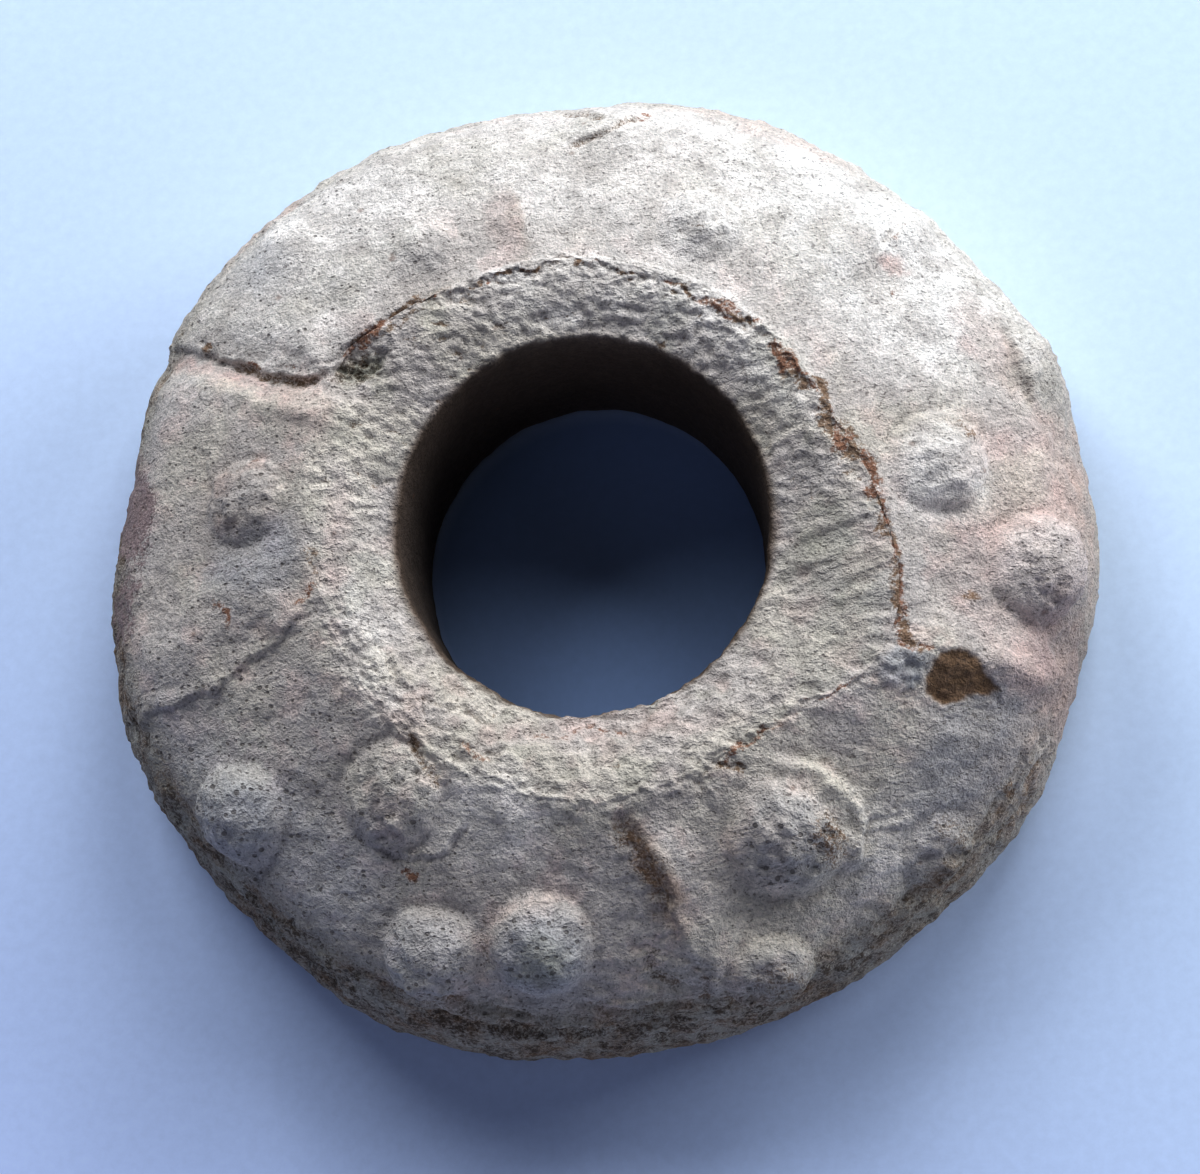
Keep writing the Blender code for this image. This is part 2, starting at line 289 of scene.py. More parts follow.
creases = [
    {"path": [(-7.1, -2.7), (-6.6, -3.4), (-5.9, -4.5), (-5.0, -5.6), (-4.5, -6.8)],
     "depth": 0.03, "width": 0.14, "lip": 0.01, "soil": 0.15},
    {"path": [(-7.5, -2.3), (-6.9, -3.6), (-6.1, -4.9), (-5.3, -5.9)],
     "depth": 0.02, "width": 0.12, "lip": 0.01, "soil": 0.1},
    {"path": [(-6.8, -2.2), (-6.2, -3.4), (-5.5, -4.3), (-4.7, -5.3)],
     "depth": 0.02, "width": 0.12, "lip": 0.01, "soil": 0.1},
    {"path": [(3.3, -7.0), (4.4, -6.45), (5.2, -6.0), (5.7, -5.6), (6.6, -5.2), (7.6, -4.8), (8.2, -4.25)],
     "depth": 0.035, "width": 0.10, "lip": 0.03, "soil": 0.1},
    {"path": [(3.55, -6.95), (4.05, -7.05), (4.55, -7.3)],
     "depth": 0.07, "width": 0.16, "lip": 0.02, "soil": 0.9},
    {"path": [(3.5, -7.0), (3.25, -7.6), (3.35, -8.0)],
     "depth": 0.09, "width": 0.22, "lip": 0.0, "soil": 0.35},
    {"path": [(-2.8, -6.9), (-2.1, -7.3), (-1.2, -7.9), (-0.2, -8.15), (0.9, -8.1)],
     "depth": 0.02, "width": 0.12, "lip": 0.03, "soil": 0.04},
    {"path": [(1.4, -8.0), (2.3, -7.7), (3.2, -7.4)],
     "depth": 0.015, "width": 0.12, "lip": 0.015, "soil": 0.05},
    {"path": [(-4.7, -4.9), (-3.9, -5.3), (-3.3, -5.3), (-2.6, -5.9)],
     "depth": 0.05, "width": 0.11, "lip": 0.05, "soil": 0.10},
    {"path": [(-5.6, -3.5), (-5.1, -4.5), (-4.2, -5.7), (-3.3, -6.4), (-2.0, -6.7)],
     "depth": 0.04, "width": 0.11, "lip": 0.04, "soil": 0.08},
    {"path": [(7.75, -8.75), (8.1, -8.4), (8.9, -8.2)],
     "depth": 0.025, "width": 0.12, "lip": 0.02, "soil": 0.1},
    {"path": [(7.6, -9.1), (8.1, -8.75), (8.9, -8.55)],
     "depth": 0.02, "width": 0.11, "lip": 0.015, "soil": 0.1},
    {"path": [(12.0, 6.0), (12.1, 5.4), (12.3, 4.6), (12.8, 3.6)],
     "depth": 0.11, "width": 0.32, "lip": 0.03, "soil": 0.20},
    {"path": [(-10.3, 5.2), (-9.4, 4.75), (-8.25, 4.3), (-7.4, 4.3)],
     "depth": 0.13, "width": 0.24, "lip": 0.0, "soil": 0.26},
    {"path": [(12.98, -5.9), (12.5, -7.0), (12.1, -7.85), (11.45, -8.8)],
     "depth": 0.08, "width": 0.13, "lip": 0.04, "soil": 0.50},
    {"path": [(12.6, -5.9), (12.0, -7.3), (11.5, -8.1), (11.1, -8.9)],
     "depth": 0.05, "width": 0.11, "lip": 0.03, "soil": 0.35},
    {"path": [(-9.15, 1.95), (-8.75, 1.4), (-8.7, 0.8)],
     "depth": 0.05, "width": 0.16, "lip": 0.03, "soil": 0.25},
    {"path": [(-10.9, 2.6), (-10.9, 1.8), (-10.6, 1.0)],
     "depth": 0.04, "width": 0.18, "lip": 0.03, "soil": 0.15},
    {"path": [(-0.6, 11.5), (0.1, 11.85), (1.0, 12.25), (1.6, 12.7)],
     "depth": 0.09, "width": 0.15, "lip": 0.04, "soil": 0.5},
    {"path": [(-0.9, 13.1), (-0.1, 12.95), (0.6, 12.6)],
     "depth": 0.08, "width": 0.15, "lip": 0.04, "soil": 0.45},
    {"path": [(9.2, 9.25), (8.6, 8.5), (8.15, 7.9)],
     "depth": 0.06, "width": 0.13, "lip": 0.04, "soil": 0.25},
    {"path": [(-5.0, -6.15), (-4.6, -6.5), (-4.3, -6.85), (-3.9, -7.7)],
     "depth": 0.12, "width": 0.24, "lip": 0.04, "soil": 0.45},
    {"path": [(-5.9, -9.0), (-5.3, -9.35), (-4.8, -9.5), (-3.8, -9.25), (-3.1, -8.65)],
     "depth": 0.10, "width": 0.14, "lip": 0.05, "soil": 0.25},
    {"path": [(-10.1, -10.2), (-8.3, -11.55), (-7.0, -12.5)],
     "depth": 0.12, "width": 0.26, "lip": 0.04, "soil": 0.40},
    {"path": [(-5.4, -13.2), (-3.1, -13.75), (0.2, -14.0), (2.8, -13.6)],
     "depth": 0.14, "width": 0.20, "lip": 0.06, "soil": 0.40},
    {"path": [(-6.5, -12.4), (-4.8, -13.0), (-3.0, -13.3), (-1.2, -13.6)],
     "depth": 0.08, "width": 0.14, "lip": 0.04, "soil": 0.35},
    {"path": [(-0.5, -13.4), (1.5, -13.4), (3.4, -13.2), (4.6, -13.3)],
     "depth": 0.08, "width": 0.16, "lip": 0.05, "soil": 0.35},
    {"path": [(1.0, -8.3), (1.2, -8.9), (1.5, -9.6), (1.95, -10.1), (2.2, -10.7), (2.35, -11.5)],
     "depth": 0.14, "width": 0.34, "lip": 0.0, "soil": 0.30},
    {"path": [(1.6, -12.1), (2.1, -12.6), (2.6, -13.0)],
     "depth": 0.12, "width": 0.30, "lip": 0.0, "soil": 0.45},
    {"path": [(3.2, -12.5), (3.3, -12.9), (3.2, -13.3)],
     "depth": 0.10, "width": 0.20, "lip": 0.0, "soil": 0.4},
    {"path": [(-13.3, -5.2), (-11.05, -4.65), (-9.1, -3.7), (-8.3, -3.1), (-7.4, -2.3)],
     "depth": 0.03, "width": 0.16, "lip": 0.0, "soil": 0.10, "drop": 0.13},
    {"path": [(-12.9, 6.6), (-12.05, 6.13), (-10.73, 5.5), (-9.4, 4.85), (-8.25, 4.4),
              (-7.6, 4.45), (-6.8, 4.8)],
     "depth": 0.09, "width": 0.15, "lip": 0.03, "soil": 0.34, "drop": 0.08},
]

# Broken and filled spots, each a flat or a hollow inside an outline

brokenSpots = {
    "brownBreak": {
        "outline": [(9.85, -3.8), (10.5, -3.65), (10.95, -3.95), (11.25, -4.35), (11.7, -4.75),
                    (11.45, -4.95), (10.7, -5.1), (10.0, -5.35), (9.55, -5.0), (9.45, -4.6),
                    (9.65, -4.2)],
        "depth": 0.06, "edge": 0.14},
    "greyFacet": {
        "outline": [(8.05, -3.95), (8.7, -3.6), (9.35, -3.6), (9.75, -4.0), (9.6, -4.5), (9.3, -5.0),
                    (8.65, -5.1), (8.0, -4.8), (7.9, -4.4)],
        "depth": -0.06, "edge": 0.40},
    "cavity": {
        "outline": [(-7.35, 4.8), (-6.7, 5.0), (-6.1, 5.2), (-5.5, 5.05), (-5.6, 4.4), (-6.3, 4.15),
                    (-7.0, 4.4)],
        "depth": 0.24, "edge": 0.35},
}

whorlBody = makeBody()
print("body:", len(whorlBody.data.vertices), "points,",
      sum(len(face.vertices) - 2 for face in whorlBody.data.polygons), "triangles")


# Pellets: bearing and distance out, radius, and how much higher, deeper round the foot, rougher and
# more pitted than the solid's each is

pellets = [
    {"at": (219.2, 12.9), "radius": 1.60, "rise": 0.20, "foot": 0.07, "rough": 0.080, "pits": 1.0},
    {"at": (235.4, 9.5), "radius": 1.55, "rise": 0.20, "foot": 0.08, "rough": 0.110, "pits": 0.3},
    {"at": (250, 12.95), "radius": 1.50, "rise": 0.20, "foot": 0.09, "rough": 0.065, "pits": 0.8},
    {"at": (264.4, 12.1), "radius": 1.60, "rise": 0.18, "foot": 0.08, "rough": 0.065, "pits": 0.9},
    {"at": (292.3, 13.8), "radius": 1.35, "rise": 0.22, "foot": 0.08, "rough": 0.110, "pits": 0.9},
    {"at": (302.6, 10.85), "radius": 1.85, "rise": 0.26, "foot": 0.08, "rough": 0.120, "pits": 0.9},
    {"at": (317.5, 13.6), "radius": 1.20, "rise": 0.12, "foot": 0.05, "rough": 0.140, "pits": 0.8},
    {"at": (354.7, 13.1), "radius": 1.65, "rise": 0.26, "foot": 0.09, "rough": 0.110, "pits": 0.5},
    {"at": (9.6, 10.3), "radius": 1.50, "rise": 0.18, "foot": 0.08, "rough": 0.080, "pits": 0.2},
    {"at": (23, 14.0), "radius": 1.40, "rise": 0.04, "foot": 0.02, "rough": 0.050, "pits": 0.2},
    {"at": (69, 9.5), "radius": 1.25, "rise": 0.10, "foot": 0.05, "rough": 0.110, "pits": 0.3},
    {"at": (119, 9.4), "radius": 1.10, "rise": 0.02, "foot": 0.02, "rough": 0.060, "pits": 0.3},
    {"at": (174.7, 9.8), "radius": 1.30, "rise": 0.14, "foot": 0.07, "rough": 0.070, "pits": 0.3},
]

# Curved ridges that stand on or round single pellets

crescents = [
    {"path": [(5.1, -7.3), (5.62, -7.15), (6.52, -7.3), (7.25, -7.9), (7.6, -8.55),
              (7.45, -9.3), (6.95, -9.9)],
     "height": 0.35, "width": 0.34},
    {"path": [(5.2, -7.75), (6.1, -7.75), (6.75, -8.2), (7.05, -8.7),
              (6.95, -9.3)], "height": -0.15, "width": 0.24},
    {"path": [(9.75, 3.15), (10.3, 3.15), (10.8, 2.75), (11.0, 2.3)], "height": 0.12, "width": 0.20},
    {"path": [(-4.95, -12.1), (-4.75, -12.75), (-4.1, -13.1), (-3.4, -13.0)], "height": -0.07, "width": 0.15},
    {"path": [(-6.1, -9.0), (-4.9, -9.5), (-3.95, -9.3), (-3.4, -8.7),
              (-3.3, -8.1)], "height": 0.08, "width": 0.24},
    {"path": [(11.2, -3.85), (11.9, -4.0), (12.7, -4.45), (13.4, -4.75)], "height": 0.12, "width": 0.45},
    {"path": [(-12.0, 5.25), (-10.65, 4.5), (-9.35, 3.8), (-8.0, 3.3),
              (-6.9, 3.0)], "height": 0.12, "width": 0.50},
    {"path": [(1.75, -8.9), (2.3, -9.9), (2.6, -11.0), (2.95, -11.95),
              (3.2, -12.6)], "height": 0.20, "width": 0.28},
    {"path": [(-7.6, -1.3), (-8.3, -1.8), (-10.9, -3.05), (-13.0, -4.2),
              (-13.9, -4.5)], "height": -0.24, "width": 1.5},
]

# The surface: how high each kind of roughness stands, in millimetres

surface = {
    "swell": 0.08,       # broad unevenness over the dome
    "dents": 0.030,      # middling unevenness
    "grain": 0.026,      # the finest that is modelled
    "flakes": 0.018,     # grooves between flakes over the dome
    "flakesLow": 0.022,  # and what its lower half has more
    "wrinkles": 0.064,   # over the collar
    "combing": 0.085,    # the fine lines across the collar's right side
    "ringLines": 0.030,  # lines that run round the collar
    "crumbs": 0.075,     # on the collar's lower part
    "facets": 0.15,      # on the grey facet
    "rubble": 0.30,      # in the cavity
    "rimChips": 0.060,   # along the rim and the side
    "layers": 0.07,      # grooves that run round the side
    "underside": 0.10,
    "boreWall": 0.04,
    "wander": 0.09,      # how far creases and broken edges stray from their drawn lines
    "wanderFine": 0.03,
}

combedPatch = {"middle": (7.0, -2.0), "radius": 3.0, "turn": 24}  # turn: which way the lines run


def bodyPoints(body):
    co = np.zeros(len(body.data.vertices) * 3)
    body.data.vertices.foreach_get("co", co)
    return co.reshape(-1, 3) / mm - np.array([*whorlShape["boreAxis"], 0.0])


def bodyNormals(body):
    normals = np.zeros(len(body.data.vertices) * 3)
    body.data.vertex_normals.foreach_get("vector", normals)
    return normals.reshape(-1, 3)


def findZones(points, normals):
    out = np.linalg.norm(points[:, :2], axis=1)
    bearing = np.degrees(np.arctan2(points[:, 1], points[:, 0])) % 360.0
    crest = crestOut(bearing)
    high = points[:, 2]
    zones = {"out": out, "bearing": bearing, "crest": crest}
    zones["lower"] = ramp(4.0, -6.0, points[:, 1])
    zones["top"] = ramp(0.5, 2.5, high) * ramp(5.0, 5.5, out)
    zones["collar"] = ramp(5.1, 5.6, out) * (1.0 - ramp(-0.15, 0.15, out - crest)) * ramp(5.5, 6.2, high)
    zones["dome"] = ramp(-0.15, 0.15, out - crest) * ramp(0.5, 2.0, high)
    zones["side"] = ramp(12.8, 13.8, out) * ramp(0.1, 0.6, high) * (1.0 - ramp(4.0, 5.5, high))
    zones["underside"] = (1.0 - ramp(0.0, 0.4, high)) * ramp(-0.2, -0.8, normals[:, 2])
    zones["bore"] = (1.0 - ramp(5.3, 5.7, out)) * (1.0 - ramp(6.0, 6.4, high)) * ramp(0.0, 0.5, high)
    return zones


def liftMouth(points, zones):
    mouth = whorlShape["mouth"]
    across = np.clip((zones["out"] - mouth) / (zones["crest"] - mouth), 0.0, 1.0)
    lifted = ringAt(whorlShape["mouthLift"], zones["bearing"])
    points[:, 2] += lifted * (1.0 - across) ** 1.2 * ramp(2.0, 6.2, points[:, 2])


def roughenDome(points, zones, marks, lift):
    # broad to fine unevenness, calmer on the upper half
    top, dome, lower = zones["top"], zones["dome"], zones["lower"]
    lift += surface["swell"] * cloud(points, 3.2, 2, 1) * dome * (0.55 + 0.45 * lower)
    lift += surface["dents"] * cloud(points, 1.1, 3, 2, (1.1, 0.95, 1.0)) * top * (0.55 + 0.65 * lower)
    marks["grain"] = surface["grain"] * cloud(points, 0.34, 3, 4, (1.35, 0.8, 1.0)) * top
    lift += marks["grain"] * (0.75 + 0.6 * lower)
    flakes = ridges(points, 0.75, 3, 11, (1.6, 0.8, 1.0))
    lift -= (surface["flakes"] + surface["flakesLow"] * lower) * flakes * dome


def wrinkleCollar(points, zones, marks, lift):
    # wrinkles, most of all at its top, combing on its right and crumbs at its bottom
    collar = zones["collar"]
    combed = np.linalg.norm(points[:, :2] - np.array(combedPatch["middle"]), axis=1)
    combed = mound(combed, combedPatch["radius"]) ** 0.6
    topCollar = 0.38 + 0.62 * ramp(-3.0, 4.0, points[:, 1])
    wrinkles = 0.7 * cloud(points, 0.42, 3, 7, (1.25, 0.85, 1.0))
    wrinkles = wrinkles + 0.8 * cloud(points, 0.25, 3, 26, (1.2, 0.9, 1.0))
    wrinkles = surface["wrinkles"] * wrinkles * collar * topCollar
    lift += wrinkles * (1.0 - 0.92 * combed)
    turn = math.radians(combedPatch["turn"])
    slant = points[:, 1] * math.cos(turn) - points[:, 0] * math.sin(turn)
    lines = np.column_stack([points[:, 0] * 0.25, slant, points[:, 2] * 0.3])
    lift += surface["combing"] * cloud(lines, 0.30, 2, 8) * combed * collar
    around = np.radians(zones["bearing"])
    ringPlace = np.column_stack([np.cos(around) * 2.4, np.sin(around) * 2.4, zones["out"]])
    quiet = (1.0 - topCollar * 0.5) * (1.0 - combed)
    ringLines = cloud(ringPlace, 0.24, 3, 23)
    lift += surface["ringLines"] * ringLines * collar * quiet * (1.0 + 0.8 * zones["lower"])
    crumbs = np.clip(cloud(points, 0.5, 3, 24), -0.3, 1.0)
    lift += surface["crumbs"] * crumbs * collar * ramp(-1.0, -5.0, points[:, 1])
    marks["fine"] = wrinkles + marks["grain"]
    marks["crumpled"] = collar * (0.35 + 0.65 * topCollar) * (1.0 - 0.5 * combed)


def breakLap(points, zones, marks, lift):
    # the solid's smooth step is traded for a ragged one, with a lip and a crack under it
    ragged = points[:, :2] + lap["ragged"] * marks["push"] + lap["raggedFine"] * marks["finePush"]
    away, share, side = alongPath(ragged, lap["path"])
    onLap = ramp(-0.02, 0.03, share) * (1.0 - ramp(0.985, 1.0, share)) * zones["top"]
    nearRing = onLap * ramp(0.14, 0.20, share) * (1.0 - ramp(0.93, 1.0, share))
    smoothStep = ringAt(whorlShape["stepShape"], zones["bearing"])
    smoothStep = smoothStep * ramp(-0.40, 0.22, zones["out"] - zones["crest"])
    sharpStep = ringAt(lap["step"], zones["bearing"]) * ramp(-0.05, 0.05, side)
    near = 1.0 - ramp(0.8, 2.6, away)
    lift += (sharpStep - smoothStep) * near * nearRing
    strong = 0.55 + 0.45 * cloud(points, 1.6, 2, 9)
    strong = np.clip(strong + ramp(0.20, 0.02, share) + mound(np.abs(share - 0.19), 0.07), 0.25, 1.5)
    lipHere = ramp(-0.04, 0.06, side) * np.exp(-away / 0.30)
    lift += lap["lip"] * lipHere * onLap * strong
    crackHere = ramp(0.05, -0.06, side) * mound(away, lap["crackWidth"])
    lift -= lap["crack"] * crackHere * onLap * strong
    lineWidth = lap["lineWidth"] + lap["lineWider"] * ramp(0.56, 0.66, share)
    patchyLine = cloud(points, 0.8, 3, 12) + ramp(0.6, 0.7, share)
    marks["line"] = mound(np.abs(side + 0.03), lineWidth) * onLap * ramp(-0.5, 0.3, patchyLine)


def cutCreases(points, zones, marks, lift):
    for crease in creases:
        away, share, side = alongPath(marks["spots"], crease["path"])
        fade = ramp(0.0, 0.12, share) * ramp(1.0, 0.88, share) * zones["top"]
        width = crease["width"]
        cut = mound(away, width) * fade
        beside = np.exp(-((away - width) / (0.7 * width)) ** 2) * (side > 0.0) * fade
        lift += crease["lip"] * beside - crease["depth"] * cut
        ledge = ramp(-0.10, 0.10, side) * (1.0 - ramp(0.1, 0.8, away))
        lift += crease.get("drop", 0.0) * ledge * fade
        marks["soil"] += crease["soil"] * mound(away, width * 1.5) * fade


def breakSpots(points, zones, marks, lift):
    for spot in brokenSpots.values():
        inside = insideShape(marks["spots"], spot["outline"])
        spot["field"] = ramp(0.0, spot["edge"], inside) * zones["top"]
        lift -= spot["depth"] * spot["field"]
    facet = np.abs(cloud(points, 0.8, 1, 13, (1.0, 1.6, 1.0)))
    facet = facet + 0.35 * cloud(points, 0.3, 3, 25)
    lift += surface["facets"] * facet * brokenSpots["greyFacet"]["field"]
    rubble = np.clip(cloud(points, 0.34, 3, 14), -0.3, 1.0)
    lift += surface["rubble"] * rubble * brokenSpots["cavity"]["field"]


def raisePellets(points, zones, marks, lift):
    # rounder than the solid's, with a foot line round them and a rough, pitted top
    top = zones["top"]
    roughTop = cloud(points, 0.32, 4, 15)
    uneven = 1.0 + 0.05 * cloud(points, 1.2, 1, 16)
    marks["pitted"] = np.zeros(len(points))
    for pellet in pellets:
        middle = polar(*pellet["at"])
        reach = np.linalg.norm(spotsAcross(points, middle, pellet["at"][0]), axis=1) / pellet["radius"]
        reach = reach * uneven
        onTop = 1.0 - ramp(0.60, 0.90, reach)
        lift += pellet["rise"] * np.clip(1.0 - reach ** 2, 0.0, 1.0) ** 0.6 * top
        lift -= pellet["foot"] * np.exp(-((reach - 1.06) / 0.10) ** 2) * top
        lift += pellet["rough"] * roughTop * onTop * top
        marks["pitted"] = np.maximum(marks["pitted"], pellet["pits"] * onTop)
        marks["soil"] += 0.25 * pellet["pits"] * np.exp(-((reach - 1.06) / 0.14) ** 2) * top
    marks["crumpled"] = np.maximum(marks["crumpled"], marks["pitted"])
    for crescent in crescents:
        away, share, _ = alongPath(marks["spots"], crescent["path"])
        fade = ramp(0.0, 0.2, share) * ramp(1.0, 0.8, share) * top
        lift += crescent["height"] * mound(away, crescent["width"]) * fade


def wearEdges(points, zones, marks, lift):
    # the rim and side, the underside and the bore
    chips = cloud(points, 0.7, 4, 17)
    lift += surface["rimChips"] * chips * ramp(12.9, 13.9, zones["out"]) * ramp(0.2, 0.8, points[:, 2])
    marks["layers"] = ridges(points * np.array([0.35, 0.35, 1.0]), 0.55, 3, 18)
    lift -= surface["layers"] * marks["layers"] * zones["side"]
    worn = np.clip(cloud(points, 1.8, 4, 19), -1.0, 0.0)
    worn += 0.35 * np.clip(cloud(points, 0.5, 3, 21), -1.0, 0.0)
    lift += surface["underside"] * worn * zones["underside"]
    lift += surface["boreWall"] * cloud(points, 1.2, 3, 22, (1.0, 1.0, 2.5)) * zones["bore"]


def workSurface(body):
    # lifts every point along its normal, and returns what the finish needs to know
    points = bodyPoints(body)
    normals = bodyNormals(body)
    zones = findZones(points, normals)
    marks = {"push": wobble(points, 0.7, 20), "soil": np.zeros(len(points))}
    liftMouth(points, zones)
    marks["finePush"] = wobble(points, 0.24, 5)
    marks["spots"] = points[:, :2] + surface["wander"] * marks["push"]
    marks["spots"] += surface["wanderFine"] * marks["finePush"]
    lift = np.zeros(len(points))
    for work in (roughenDome, wrinkleCollar, breakLap, cutCreases, breakSpots, raisePellets, wearEdges):
        work(points, zones, marks, lift)
    moved = points + normals * lift[:, None]
    moved[:, 2] = np.maximum(moved[:, 2], 0.0)
    moved += np.array([*whorlShape["boreAxis"], 0.0])
    body.data.vertices.foreach_set("co", (moved * mm).ravel())
    body.data.update()
    return points, zones, marks


def spotsAcross(points, middle, bearing):
    # places round a pellet, measured along the slope of the dome and round the whorl
    turn = math.radians(bearing)
    outwards = np.array([math.cos(turn), math.sin(turn)])
    sideways = np.array([-outwards[1], outwards[0]])
    offset = points[:, :2] - middle
    level = points[np.argmin(np.linalg.norm(offset, axis=1) + 9.0 * (points[:, 2] < 2.0)), 2]
    return np.column_stack([np.hypot(offset @ outwards, points[:, 2] - level), offset @ sideways])


points, zones, marks = workSurface(whorlBody)
print("surface: worked")


# The clay's colours, painted on the body's points

clay = {
    "buff": (0.590, 0.510, 0.440),
    "grey": (0.480, 0.450, 0.425),
    "slate": (0.400, 0.410, 0.430),
    "cream": (0.700, 0.615, 0.500),
    # pale clay, also used as painted light
    "paleAndPaintedLight": (0.830, 0.755, 0.670),
    "pink": (0.640, 0.470, 0.400),
    "plum": (0.330, 0.235, 0.215),
    "olive": (0.430, 0.405, 0.310),
    "soil": (0.200, 0.118, 0.060),
    "rust": (0.300, 0.135, 0.070),
    "dark": (0.115, 0.078, 0.050),
    "shade": (0.050, 0.045, 0.045),
    "brown": (0.260, 0.155, 0.085),
}

# Washes of colour: place, half length and half width, turn, colour and strength. The pale washes are partly
# painted light: they lighten the upper dome, the collar's top and other places that stand in brighter light,
# and the shaded sides of some pellets

washes = [
    # painted light: pale over the lit upper dome and the top of the collar
    ((9.0, 8.5), (6.5, 4.0), 135, "paleAndPaintedLight", 1.10),
    ((-8.0, 8.8), (6.0, 3.2), 45, "paleAndPaintedLight", 0.80),
    ((1.0, 11.0), (7.0, 3.0), 0, "paleAndPaintedLight", 0.70),
    ((0.5, 6.8), (4.5, 1.4), 0, "paleAndPaintedLight", 0.55),
    ((5.0, 4.8), (3.0, 1.2), 135, "paleAndPaintedLight", 0.50),
    ((8.5, 7.0), (1.6, 0.8), 120, "brown", 0.16),
    ((12.3, 4.9), (1.4, 0.5), 110, "brown", 0.32),
    ((-1.9, 8.9), (1.5, 0.22), 98, "brown", 0.28),
    ((-9.7, -0.3), (1.7, 1.0), 20, "soil", 0.15),
    ((11.4, -7.0), (1.8, 0.7), 60, "pink", 0.40),
    ((-13.6, -3.0), (1.2, 0.5), 80, "plum", 0.40),
    ((6.5, -9.5), (5.0, 2.2), 40, "cream", 0.35),
    # painted light: pale over the collar's left side
    ((-6.3, -2.0), (1.0, 3.5), 10, "paleAndPaintedLight", 0.40),
    ((7.0, -7.9), (1.3, 0.35), 130, "cream", 1.0),
    ((-9.3, -0.8), (1.8, 1.3), 30, "slate", 0.45),
    ((-14.1, 1.3), (2.4, 0.8), 95, "plum", 0.75),
    ((-13.6, -1.2), (2.0, 0.7), 90, "plum", 0.35),
    ((11.7, 1.4), (1.6, 1.0), 100, "pink", 0.75),
    # plum stain and painted shade in the hollow between the right pellet and the rib
    ((13.6, -2.9), (1.8, 0.8), 95, "plum", 0.40),
    ((2.0, -10.0), (1.8, 0.55), 112, "brown", 0.55),
    # painted light: pale round the pellet at the lower right
    ((8.8, -8.6), (2.4, 1.6), 45, "paleAndPaintedLight", 0.50),
    ((12.6, -1.0), (4.8, 2.6), 95, "pink", 0.65),
    ((12.2, -5.8), (3.6, 1.6), 60, "pink", 0.45),
    ((-9.0, -9.2), (6.5, 2.8), 135, "slate", 0.42),
    ((0.6, -5.9), (4.0, 0.35), 3, "pink", 0.30),
    ((-6.9, -0.6), (0.5, 2.0), 0, "pink", 0.55),
    # painted light: pale over the lower middle of the dome
    ((-2.6, -8.4), (2.2, 1.5), 0, "paleAndPaintedLight", 0.60),
    ((11.0, -6.4), (2.6, 1.4), 60, "grey", 0.65),
    ((11.4, 5.6), (1.6, 0.8), 115, "pink", 0.5),
    ((13.6, 1.5), (2.2, 1.0), 100, "pink", 0.7),
    ((12.0, 1.2), (1.8, 0.8), 40, "cream", 0.7),
    ((13.2, -4.5), (1.8, 0.9), 150, "pink", 0.9),
    ((-10.6, 4.9), (2.6, 0.45), 153, "pink", 1.0),
    ((-10.2, 4.3), (2.4, 0.30), 153, "cream", 0.6),
    ((-8.0, 3.4), (1.2, 0.9), 120, "pink", 0.5),
    ((-9.8, 10.2), (3.0, 0.5), 40, "pink", 0.6),
    ((5.6, 12.4), (3.2, 0.6), 155, "pink", 0.5),
    ((-2.3, 8.9), (1.3, 0.5), 95, "pink", 0.5),
    ((8.8, 7.8), (0.6, 0.35), 160, "pink", 0.9),
    ((-9.9, 1.0), (1.3, 1.5), 0, "soil", 0.24),
    ((-9.6, 8.2), (1.2, 0.8), 30, "grey", 0.5),
    # painted light: pale over the shaded sides of the pellets on the right and at the top
    ((10.2, 1.4), (1.7, 1.5), 20, "paleAndPaintedLight", 0.75),
    ((12.9, -1.3), (1.7, 1.4), 20, "paleAndPaintedLight", 0.45),
    ((3.4, 8.6), (1.6, 1.2), 20, "paleAndPaintedLight", 0.70),
    # plum stain and painted shade in the hollow between the right pellet and the rib
    ((13.4, -3.0), (2.0, 1.1), 80, "plum", 0.45),
    ((10.6, -6.6), (2.6, 1.4), 60, "grey", 0.80),
    ((10.6, -6.6), (2.8, 1.5), 60, "soil", 0.17),
    # painted shade: slate over the pellet at the bottom, for its shaded lower half
    ((-1.2, -12.3), (1.5, 1.3), 0, "slate", 0.40),
    ((7.2, -1.7), (1.3, 2.4), 10, "olive", 0.50),
    ((-1.2, -12.3), (0.9, 0.7), 0, "olive", 0.5),
    ((6.6, -3.6), (1.8, 0.5), 30, "cream", 0.6),
    ((-3.5, -6.6), (1.6, 0.7), 150, "cream", 0.5),
    ((-6.3, 1.0), (0.6, 2.4), 0, "cream", 0.5),
]

# Stains with ragged edges, in the same order

